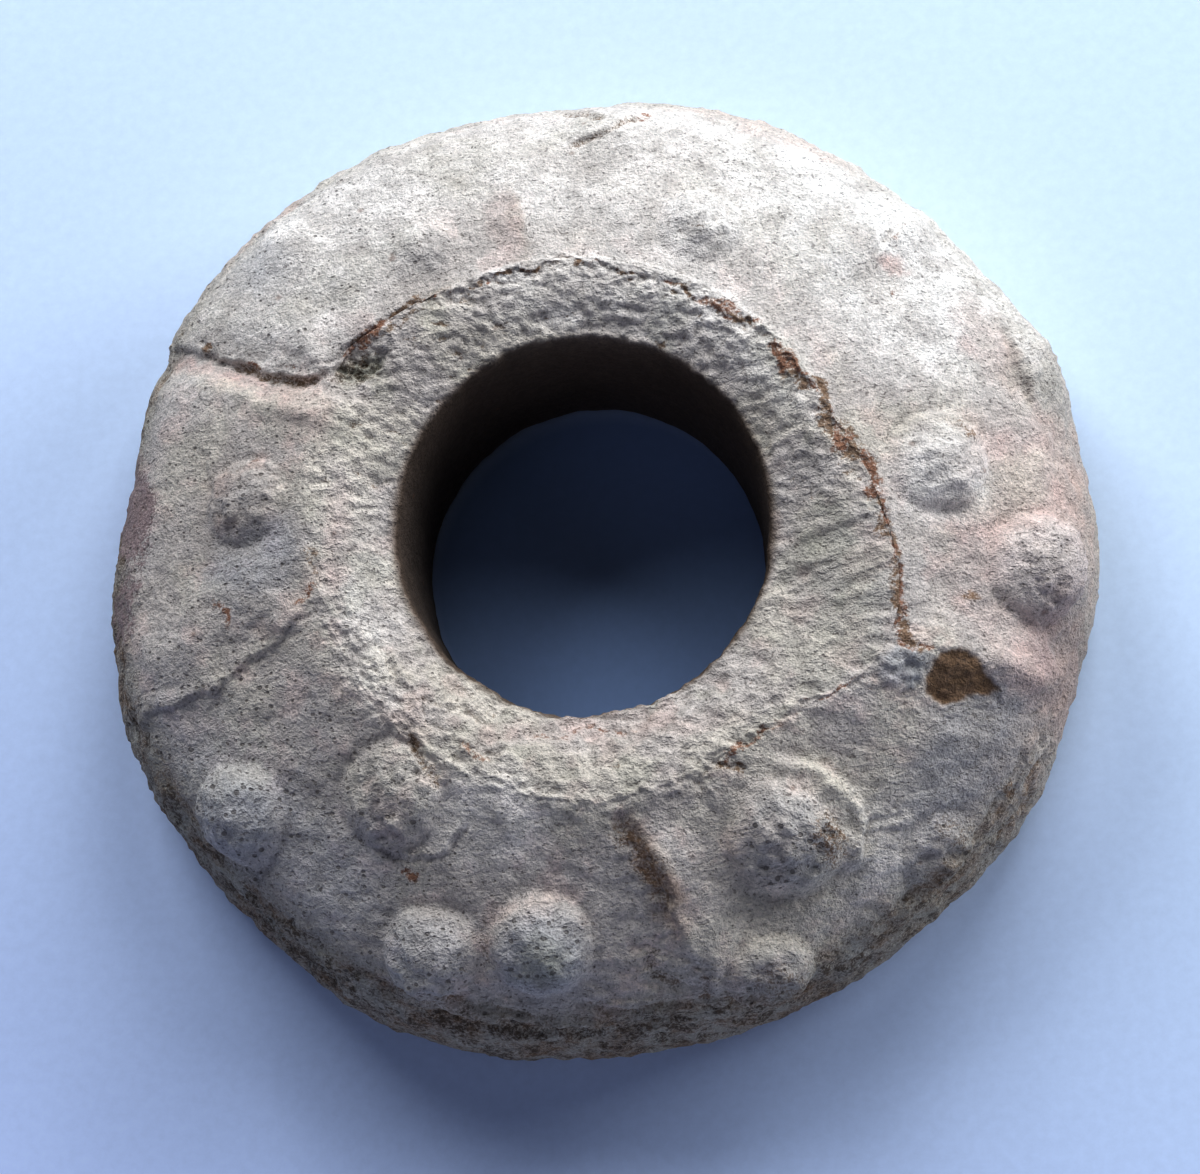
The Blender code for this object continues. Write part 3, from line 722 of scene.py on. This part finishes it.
stains = [
    ((-13.6, 0.7), (1.8, 0.5), 97, "dark", 0.56),
    ((-13.3, 1.3), (2.5, 0.95), 97, "plum", 0.82),
    ((-13.5, -1.8), (1.5, 0.8), 85, "plum", 0.66),
    ((11.4, -8.2), (1.3, 0.45), 60, "dark", 0.42),
    ((10.2, -8.6), (0.8, 0.6), 30, "soil", 0.38),
    ((-4.6, 6.6), (1.1, 0.22), 25, "brown", 0.50),
    ((1.55, 12.75), (0.35, 0.18), 20, "rust", 0.60),
    ((3.4, 8.7), (0.25, 0.14), 30, "dark", 0.60),
    ((1.7, 7.9), (0.3, 0.12), 20, "brown", 0.50),
    ((1.7, -9.7), (1.8, 0.50), 118, "brown", 0.55),
    ((2.1, -10.4), (0.9, 0.25), 100, "soil", 0.45),
    ((1.85, -12.4), (0.7, 0.45), 130, "dark", 0.42),
    ((6.7, -9.0), (0.7, 0.8), 0, "brown", 0.52),
    ((5.3, -12.7), (1.2, 0.8), 20, "soil", 0.40),
    ((-7.6, -1.2), (0.25, 0.55), 0, "brown", 0.45),
    ((-7.75, -2.05), (0.50, 0.22), 20, "rust", 0.60),
    ((-10.25, -2.2), (0.35, 0.17), 160, "rust", 0.65),
    ((-10.2, -2.7), (0.16, 0.45), 0, "rust", 0.5),
    ((-4.75, -9.85), (0.34, 0.24), 150, "rust", 0.9),
    ((8.8, 6.9), (0.16, 0.2), 0, "rust", 0.9),
    ((10.95, -2.15), (0.25, 0.28), 0, "brown", 0.65),
    ((11.9, -7.3), (0.4, 0.25), 20, "brown", 0.6),
    ((10.7, 2.7), (0.55, 0.22), 140, "brown", 0.55),
    ((-6.2, 5.5), (1.2, 0.40), 35, "rust", 0.62),
    ((-6.5, 4.6), (0.9, 0.5), 10, "dark", 0.50),
    ((3.9, 6.1), (1.3, 0.25), 150, "rust", 0.60),
    ((7.5, 2.4), (1.0, 0.28), 125, "brown", 0.5),
    ((8.6, -0.6), (1.0, 0.26), 100, "brown", 0.55),
    ((8.9, -2.3), (1.2, 0.28), 95, "rust", 0.60),
    ((4.6, -6.4), (1.5, 0.16), 30, "rust", 0.65),
    ((6.9, -5.05), (1.3, 0.10), 25, "rust", 0.55),
    ((0.2, -6.0), (2.6, 0.14), 3, "rust", 0.45),
    ((-3.0, -6.6), (0.7, 0.3), 150, "rust", 0.45),
    ((9.2, 8.9), (0.9, 0.14), 50, "rust", 0.4),
    ((-5.0, 5.9), (1.6, 0.12), 35, "soil", 0.5),
]


def spotReach(spots, middle, size, turned):
    # zero at a spot's middle, one at its edge
    turn = math.radians(turned)
    offset = spots - np.array(middle)
    along = offset[:, 0] * math.cos(turn) + offset[:, 1] * math.sin(turn)
    across = offset[:, 1] * math.cos(turn) - offset[:, 0] * math.sin(turn)
    return np.hypot(along / size[0], across / size[1])


# How strong the clay's own patches and the grime are, and the painted shade in the bore and on the side

patina = {
    "greyPatches": 0.15,
    "creamPatches": 0.60,
    "pinkPatches": 0.38,
    "pelletGrey": 0.45,
    "collarOlive": 0.30,
    "collarPink": 0.30,
    "boreSoilAndShade": 0.90,
    "boreShade": 0.75,
    "mouthSoil": 0.35,
    "undersideSoil": 0.20,
    "sideOlive": 0.55,
    "sideBrown": 0.42,
    "sideSoilAndShade": 0.46,
    "sideDark": 0.58,
    "layersDark": 0.70,
    "lapLine": 0.78,
    "wrinkleSoil": 0.50,
    "breakBrown": 0.96,
    "breakSoil": 0.50,
    "facetSlate": 0.50,
    "cavityOlive": 0.75,
    "cavityDark": 0.40,
    "patchyValue": 0.07,  # how much patches lighten and darken the clay
    "broadValue": 0.06,
    "wander": 0.20,       # how far washes and stains stray from their places
}


def washClay(points, zones, marks):
    # thin layers of colour, one over the other
    colour = np.tile(np.array(clay["buff"]), (len(points), 1))
    broad, patchy = marks["broad"], marks["patchy"]
    collar, side = zones["collar"], zones["side"]

    def wash(tint, strength):
        strength = np.clip(strength, 0.0, 1.0)[:, None]
        colour[:] = colour * (1.0 - strength) + np.array(clay[tint]) * strength

    wash("grey", patina["greyPatches"] * ramp(-0.1, 0.7, broad))
    wash("cream", patina["creamPatches"] * ramp(0.0, 0.6, -broad + 0.3 * patchy))
    wash("pink", patina["pinkPatches"] * ramp(0.10, 0.8, patchy) * zones["dome"])
    wash("grey", patina["pelletGrey"] * marks["pitted"])
    topCollar = ramp(-1.0, 4.5, points[:, 1])
    wash("olive", patina["collarOlive"] * collar * ramp(0.1, 0.7, cloud(points, 1.3, 2, 32)))
    pinkPatches = ramp(0.25, 0.8, cloud(points, 1.0, 2, 33))
    wash("pink", patina["collarPink"] * collar * pinkPatches * (1.0 - topCollar))
    broken = 0.75 + 0.35 * patchy
    for middle, size, turned, tint, amount in washes:
        reach = spotReach(marks["places"], middle, size, turned)
        wash(tint, amount * (1.0 - ramp(0.45, 1.25, reach)) * broken * zones["top"])
    wash("brown", patina["breakBrown"] * brokenSpots["brownBreak"]["field"])
    earthy = ramp(-0.2, 0.6, cloud(points, 0.35, 3, 38))
    wash("soil", patina["breakSoil"] * brokenSpots["brownBreak"]["field"] * earthy)
    wash("slate", patina["facetSlate"] * brokenSpots["greyFacet"]["field"])
    wash("olive", patina["cavityOlive"] * brokenSpots["cavity"]["field"])
    # painted shade: the bore's wall is washed near black with soil and a shade tint, for the shadow that
    # fills the bore
    wash("soil", patina["boreSoilAndShade"] * zones["bore"])
    wash("shade", patina["boreShade"] * zones["bore"])
    wash("soil", patina["mouthSoil"] * ramp(5.6, 5.2, zones["out"]) * zones["top"])
    wash("soil", patina["undersideSoil"] * zones["underside"] * ramp(0.0, 0.7, patchy))
    # olive and brown on the side, stronger towards its front away from the light: grime and painted shade
    wash("olive", patina["sideOlive"] * side * marks["frontSide"])
    wash("brown", patina["sideBrown"] * side * marks["frontSide"] * (0.7 + 0.5 * patchy))
    value = 1.0 + patina["patchyValue"] * patchy + patina["broadValue"] * broad
    return np.clip(colour * value[:, None], 0.0, 1.0)


def stainClay(points, zones, marks):
    # stains keep their own colour and strength, and the material makes their edges ragged
    colour = np.tile(np.array(clay["soil"]), (len(points), 1))
    strongest = np.zeros(len(points))
    patchy, front = marks["patchy"], marks["frontSide"]

    def stain(tint, strength):
        stronger = strength > strongest
        colour[stronger] = clay[tint]
        strongest[:] = np.maximum(strongest, strength)

    # soil and dark on the side and in its grooves, stronger towards its front away from the light: grime and
    # painted shade
    stain("soil", patina["sideSoilAndShade"] * zones["side"] * front * (0.8 + 0.4 * patchy))
    stain("dark", patina["sideDark"] * zones["side"] * front * ramp(-0.2, 0.6, cloud(points, 0.6, 4, 37)))
    stain("dark", patina["layersDark"] * marks["layers"] * zones["side"] * front)
    stain("soil", np.clip(marks["soil"], 0.0, 0.6))
    redder = ramp(-0.2, 0.3, cloud(points, 0.6, 2, 39))
    stain("brown", patina["lapLine"] * marks["line"] * (1.0 - redder))
    stain("rust", patina["lapLine"] * marks["line"] * redder)
    stain("dark", patina["cavityDark"] * brokenSpots["cavity"]["field"] * ramp(-0.2, 0.5, patchy))
    inWrinkles = ramp(0.01, 0.06, -marks["fine"])
    stain("soil", patina["wrinkleSoil"] * inWrinkles * zones["collar"] * ramp(-0.3, 0.6, patchy))
    for middle, size, turned, tint, amount in stains:
        reach = spotReach(marks["places"], middle, size, turned)
        stain(tint, amount * (1.0 - ramp(0.3, 1.3, reach)))
    return colour, np.clip(strongest, 0.0, 1.0)


def paintClay(body, points, zones, marks):
    # the material reads four attributes: the clay's tint, its stains, and where it is pitted and crumpled
    marks["broad"] = cloud(points, 2.6, 3, 30)
    marks["patchy"] = cloud(points, 0.9, 3, 31)
    marks["places"] = points[:, :2] + patina["wander"] * marks["push"]
    # the side is painted darker towards its front and bottom, away from the light: partly grime, partly
    # painted shade
    marks["frontSide"] = 0.30 + 0.70 * ramp(5.0, -5.0, points[:, 1] + 0.6 * points[:, 0])
    washed = washClay(points, zones, marks)
    stained, strength = stainClay(points, zones, marks)
    for name, tint, alpha in (("clayTint", washed, np.ones(len(points))), ("stainTint", stained, strength)):
        layer = body.data.color_attributes.new(name, "FLOAT_COLOR", "POINT")
        layer.data.foreach_set("color", np.column_stack([tint, alpha]).ravel())
    leftSide = 0.6 * ramp(2.0, -10.0, points[:, 0]) + 0.25 * ramp(0.0, -8.0, points[:, 1])
    pitting = np.clip(0.25 + leftSide + marks["pitted"] + 0.3 * zones["side"], 0.0, 1.2)
    pitting = pitting * (1.0 - 0.6 * zones["underside"])
    crumple = np.clip(0.1 + 0.4 * zones["lower"] + marks["crumpled"] + 0.5 * zones["side"], 0.0, 1.0)
    for name, values in (("pitting", pitting), ("crumple", crumple)):
        layer = body.data.attributes.new(name, "FLOAT", "POINT")
        layer.data.foreach_set("value", values)


paintClay(whorlBody, points, zones, marks)
print("colours: painted")


# Materials

clayFinish = {
    # sizes and depths in millimetres; shade is how much a pattern tints
    "grain": {"size": 0.085, "depth": 0.0625, "shade": 0.22},
    "flakes": {"size": 0.24, "depth": 0.014, "crumpled": 0.032, "shade": 0.09},
    "pinholes": {"size": 0.11, "depth": 0.022, "amount": 0.50},
    "pits": {"size": 0.19, "depth": 0.045, "amount": 0.60},
    "stains": {"size": 0.24, "ragged": 0.32, "gritty": 0.26, "most": 0.90},
    "specks": {"size": 0.50, "share": 0.06, "amount": 0.40, "tint": (0.25, 0.12, 0.07, 1.0)},
    "pitTint": (0.095, 0.075, 0.062, 1.0),
    "stretch": (0.85, 1.05, 1.0),  # scales lie longer across than up
    "turn": -12,
    "roughness": 0.86,
    "specular": 0.25,
}


def newMaterial(name, roughness, specular):
    material = bpy.data.materials.new(name)
    material.use_nodes = True
    nodes = material.node_tree.nodes
    shader = nodes["Principled BSDF"]
    shader.inputs["Roughness"].default_value = roughness
    shader.inputs["Specular IOR Level"].default_value = specular
    return material, nodes, material.node_tree.links, shader


def joinMath(nodes, links, operation, first, second):
    node = nodes.new("ShaderNodeMath")
    node.operation = operation
    for socket, value in zip(node.inputs, (first, second)):
        if isinstance(value, (int, float)):
            socket.default_value = value
        else:
            links.new(value, socket)
    return node.outputs["Value"]


def noiseFac(nodes, links, vector, size, detail, roughness=0.6):
    node = nodes.new("ShaderNodeTexNoise")
    node.inputs["Scale"].default_value = 1.0 / (size * mm)
    node.inputs["Detail"].default_value = detail
    node.inputs["Roughness"].default_value = roughness
    links.new(vector, node.inputs["Vector"])
    return node.outputs["Fac"]


def remap(nodes, links, value, low, high, newLow=0.0, newHigh=1.0, smooth=False):
    node = nodes.new("ShaderNodeMapRange")
    node.interpolation_type = "SMOOTHSTEP" if smooth else "LINEAR"
    node.inputs["From Min"].default_value = low
    node.inputs["From Max"].default_value = high
    node.inputs["To Min"].default_value = newLow
    node.inputs["To Max"].default_value = newHigh
    links.new(value, node.inputs["Value"])
    return node.outputs["Result"]


def stretched(nodes, links, vector, scale, turn):
    node = nodes.new("ShaderNodeMapping")
    node.inputs["Scale"].default_value = scale
    node.inputs["Rotation"].default_value = (0.0, 0.0, math.radians(turn))
    links.new(vector, node.inputs["Vector"])
    return node.outputs["Vector"]


def cells(nodes, links, vector, size):
    # distance to the nearest cell's middle, and a random number for that cell
    node = nodes.new("ShaderNodeTexVoronoi")
    node.inputs["Scale"].default_value = 1.0 / (size * mm)
    links.new(vector, node.inputs["Vector"])
    split = nodes.new("ShaderNodeSeparateColor")
    links.new(node.outputs["Color"], split.inputs["Color"])
    return node.outputs["Distance"], split.outputs["Red"]


def blend(nodes, links, share, first, second):
    node = nodes.new("ShaderNodeMix")
    node.data_type = "RGBA"
    links.new(share, node.inputs["Factor"])
    for socket, value in ((node.inputs[6], first), (node.inputs[7], second)):
        if isinstance(value, tuple):
            socket.default_value = value
        else:
            links.new(value, socket)
    return node.outputs[2]


def attribute(nodes, name):
    node = nodes.new("ShaderNodeAttribute")
    node.attribute_name = name
    return node


def makeClay():
    finish = clayFinish
    material, nodes, links, shader = newMaterial("pittedClay", finish["roughness"], finish["specular"])
    place = nodes.new("ShaderNodeTexCoord").outputs["Object"]
    across = stretched(nodes, links, place, finish["stretch"], finish["turn"])
    grain = noiseFac(nodes, links, place, finish["grain"]["size"], 2.0, 0.75)
    scales = noiseFac(nodes, links, across, finish["flakes"]["size"], 2.0)
    scales = remap(nodes, links, scales, 0.38, 0.62, 0.0, 1.0, smooth=True)
    pitting = attribute(nodes, "pitting").outputs["Fac"]
    pinholes = noiseFac(nodes, links, across, finish["pinholes"]["size"], 1.0, 0.7)
    pinholes = remap(nodes, links, pinholes, 0.40, 0.29, 0.0, 1.0, smooth=True)
    pinholes = joinMath(nodes, links, "MULTIPLY", pinholes, finish["pinholes"]["amount"])
    away, chance = cells(nodes, links, across, finish["pits"]["size"])
    wide = joinMath(nodes, links, "MULTIPLY", remap(nodes, links, chance, 0.45, 1.0, 0.0, 0.42), pitting)
    pits = joinMath(nodes, links, "SUBTRACT", wide, away)
    pits = remap(nodes, links, pits, 0.0, 0.16, 0.0, 1.0, smooth=True)
    speckAway, speckChance = cells(nodes, links, across, finish["specks"]["size"])
    chosen = remap(nodes, links, speckChance, 1.0 - finish["specks"]["share"], 1.0, 0.0, 0.30)
    specks = remap(nodes, links, joinMath(nodes, links, "SUBTRACT", chosen, speckAway), 0.0, 0.15)
    specks = joinMath(nodes, links, "MULTIPLY", specks, finish["specks"]["amount"])

    # colour: the painted tint, lightened and darkened by grain and scales, with soil in the holes
    shade = finish["grain"]["shade"]
    value = remap(nodes, links, grain, 0.30, 0.70, 1.0 - shade, 1.0 + shade)
    shade = finish["flakes"]["shade"]
    scaleValue = remap(nodes, links, scales, 0.0, 1.0, 1.0 - shade, 1.0 + shade)
    value = joinMath(nodes, links, "MULTIPLY", value, scaleValue)
    tinted = nodes.new("ShaderNodeVectorMath")
    tinted.operation = "SCALE"
    edge = noiseFac(nodes, links, across, finish["stains"]["size"], 3.0, 0.7)
    stained = attribute(nodes, "stainTint")
    strength = stained.outputs["Alpha"]
    ragged = finish["stains"]["ragged"]
    gritty = finish["stains"]["gritty"]
    share = joinMath(nodes, links, "ADD", strength, remap(nodes, links, edge, 0.25, 0.75, -ragged, ragged))
    share = joinMath(nodes, links, "ADD", share, remap(nodes, links, grain, 0.30, 0.70, gritty, -gritty))
    share = remap(nodes, links, share, 0.25, 0.75, 0.0, 1.0, smooth=True)
    most = remap(nodes, links, strength, 0.03, 0.5, 0.0, finish["stains"]["most"])
    share = joinMath(nodes, links, "MULTIPLY", share, most)
    painted = attribute(nodes, "clayTint").outputs["Color"]
    base = blend(nodes, links, share, painted, stained.outputs["Color"])
    links.new(base, tinted.inputs[0])
    links.new(value, tinted.inputs["Scale"])
    colour = blend(nodes, links, specks, tinted.outputs["Vector"], finish["specks"]["tint"])
    darkPits = joinMath(nodes, links, "MULTIPLY", pits, finish["pits"]["amount"])
    hollow = joinMath(nodes, links, "MAXIMUM", pinholes, darkPits)
    colour = blend(nodes, links, hollow, colour, finish["pitTint"])
    links.new(colour, shader.inputs["Base Color"])

    # heights in millimetres, joined into one bump; the scales stand higher where the clay is crumpled
    flakes = finish["flakes"]
    crumple = attribute(nodes, "crumple").outputs["Fac"]
    flakeHigh = remap(nodes, links, crumple, 0.0, 1.0, flakes["depth"], flakes["crumpled"])
    high = joinMath(nodes, links, "MULTIPLY", grain, finish["grain"]["depth"])
    for field, depth in ((scales, flakeHigh), (pinholes, -finish["pinholes"]["depth"]),
                         (pits, -finish["pits"]["depth"])):
        high = joinMath(nodes, links, "ADD", high, joinMath(nodes, links, "MULTIPLY", field, depth))
    bump = nodes.new("ShaderNodeBump")
    bump.inputs["Distance"].default_value = mm
    bump.inputs["Strength"].default_value = 1.0
    links.new(high, bump.inputs["Height"])
    links.new(bump.outputs["Normal"], shader.inputs["Normal"])
    return material


whorlBody.data.materials.clear()
whorlBody.data.materials.append(makeClay())
whorlBody.data.shade_smooth()
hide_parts("whorl")
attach(whorlBody, "root")
print("clay: finished")


# Floor, light and camera

setting = {
    "floorSize": 600.0,
    "floorTint": (0.73, 0.83, 0.945, 1.0),
    "floorFarShadeTint": (0.67, 0.76, 1.0, 1.0),  # painted shade: the paper is painted darker and bluer away from the window
    "farFrom": -8.0,
    "farTo": 26.0,
    "boreShadowTint": (0.32, 0.43, 0.65, 1.0),     # and a painted shadow, darker and bluer, on the paper under the bore
    "boreFrom": 6.0,
    "boreTo": 5.0,
    "paperGrain": {"size": 0.35, "shade": 0.03},
    "contrast": 0.80,  # the photograph's own contrast, as the view's gamma
    "airTint": (0.78, 0.87, 1.0, 1.0),
    "airLight": 0.022,
}

# Soft daylight, mostly from beyond the whorl: bearing, height in degrees, distance, width, height, power

daylight = (0.83, 0.90, 1.0)
lights = [
    {"name": "windowMiddle", "bearing": 72, "up": 34, "away": 230, "wide": 110, "tall": 150, "power": 0.375},
    {"name": "windowLeft", "bearing": 120, "up": 34, "away": 230, "wide": 110, "tall": 150, "power": 0.385},
    {"name": "windowRight", "bearing": 30, "up": 18, "away": 230, "wide": 110, "tall": 120, "power": 0.375},
    {"name": "roomLeft", "bearing": 240, "up": 35, "away": 230, "wide": 140, "tall": 110, "power": 0.060,
     "tint": (0.58, 0.66, 1.0)},
    {"name": "roomRight", "bearing": 300, "up": 16, "away": 230, "wide": 140, "tall": 90, "power": 0.092,
     "tint": (0.68, 0.76, 1.0)},
    {"name": "ceiling", "bearing": 230, "up": 86, "away": 230, "wide": 120, "tall": 120, "power": 0.018,
     "tint": (0.40, 0.60, 1.0)},
]

# The camera looks down on the whorl, leaning a little to its lower right

view = {
    "lean": 14.1,                # degrees from straight down
    "towards": (0.285, -0.958),  # which way it leans
    "away": 110.0,
    "lens": 110.4,
    "sensor": 36.0,
    "lift": -0.21,               # how far the aim passes the bore's foot, up the picture
}


def makeFloor():
    bpy.ops.mesh.primitive_plane_add(size=setting["floorSize"] * mm)
    floor = bpy.context.object
    floor.name = "paleFloor"
    material, nodes, links, shader = newMaterial("palePaper", 0.95, 0.1)
    place = nodes.new("ShaderNodeTexCoord").outputs["Object"]
    split = nodes.new("ShaderNodeSeparateXYZ")
    links.new(place, split.inputs["Vector"])
    # painted shade: the paper darkens and turns bluer along a slant away from the window
    down = joinMath(nodes, links, "MULTIPLY", split.outputs["Y"], -0.9)
    leftwards = joinMath(nodes, links, "MULTIPLY", split.outputs["X"], -0.45)
    slant = joinMath(nodes, links, "ADD", down, leftwards)
    farShade = remap(nodes, links, slant, setting["farFrom"] * mm, setting["farTo"] * mm)
    paper = nodes.new("ShaderNodeVectorMath")
    paper.operation = "SCALE"
    tint = blend(nodes, links, farShade, setting["floorTint"], setting["floorFarShadeTint"])
    # painted shadow: a darker, bluer disc on the paper under the bore
    length = nodes.new("ShaderNodeVectorMath")
    length.operation = "LENGTH"
    links.new(place, length.inputs[0])
    away = length.outputs["Value"]
    boreShadow = remap(nodes, links, away, setting["boreFrom"] * mm, setting["boreTo"] * mm)
    links.new(blend(nodes, links, boreShadow, tint, setting["boreShadowTint"]), paper.inputs[0])
    grain = noiseFac(nodes, links, place, setting["paperGrain"]["size"], 3.0, 0.7)
    shade = setting["paperGrain"]["shade"]
    links.new(remap(nodes, links, grain, 0.3, 0.7, 1.0 - shade, 1.0 + shade), paper.inputs["Scale"])
    links.new(paper.outputs["Vector"], shader.inputs["Base Color"])
    floor.data.materials.append(material)


def addLight(name, bearing, up, away, wide, tall, power, tint=daylight):
    lamp = bpy.data.lights.new(name, "AREA")
    lamp.shape = "RECTANGLE"
    lamp.size = wide * mm
    lamp.size_y = tall * mm
    lamp.energy = power
    lamp.color = tint
    holder = bpy.data.objects.new(name, lamp)
    turn = math.radians(bearing)
    rise = math.radians(up)
    way = Vector((math.cos(turn) * math.cos(rise), math.sin(turn) * math.cos(rise), math.sin(rise)))
    holder.location = way * away * mm
    holder.rotation_euler = (-way).to_track_quat("-Z", "Y").to_euler()
    bpy.context.scene.collection.objects.link(holder)


def fillRoom():
    world = bpy.data.worlds.new("dimRoom")
    world.use_nodes = True
    sky = world.node_tree.nodes["Background"]
    sky.inputs["Color"].default_value = setting["airTint"]
    sky.inputs["Strength"].default_value = setting["airLight"]
    bpy.context.scene.world = world


def addCamera():
    lean = math.radians(view["lean"])
    towards = Vector(view["towards"]).normalized()
    back = Vector((towards.x * math.sin(lean), towards.y * math.sin(lean), math.cos(lean)))
    right = Vector((0.0, 1.0, 0.0)).cross(back).normalized()
    up = back.cross(right)
    camera = bpy.data.cameras.new("photoView")
    camera.sensor_fit = "HORIZONTAL"
    camera.sensor_width = view["sensor"]
    camera.lens = view["lens"]
    camera.clip_start = 5 * mm
    holder = bpy.data.objects.new("photoView", camera)
    place = back * view["away"] + up * view["lift"] + Vector((*whorlShape["boreAxis"], 0.0))
    holder.matrix_world = Matrix.Translation(place * mm) @ Matrix((right, up, back)).transposed().to_4x4()
    bpy.context.scene.collection.objects.link(holder)
    bpy.context.scene.camera = holder


makeFloor()
fillRoom()
for light in lights:
    addLight(**light)
addCamera()
bpy.context.scene.view_settings.view_transform = "Standard"
bpy.context.scene.view_settings.gamma = setting["contrast"]
print("setting: ready")
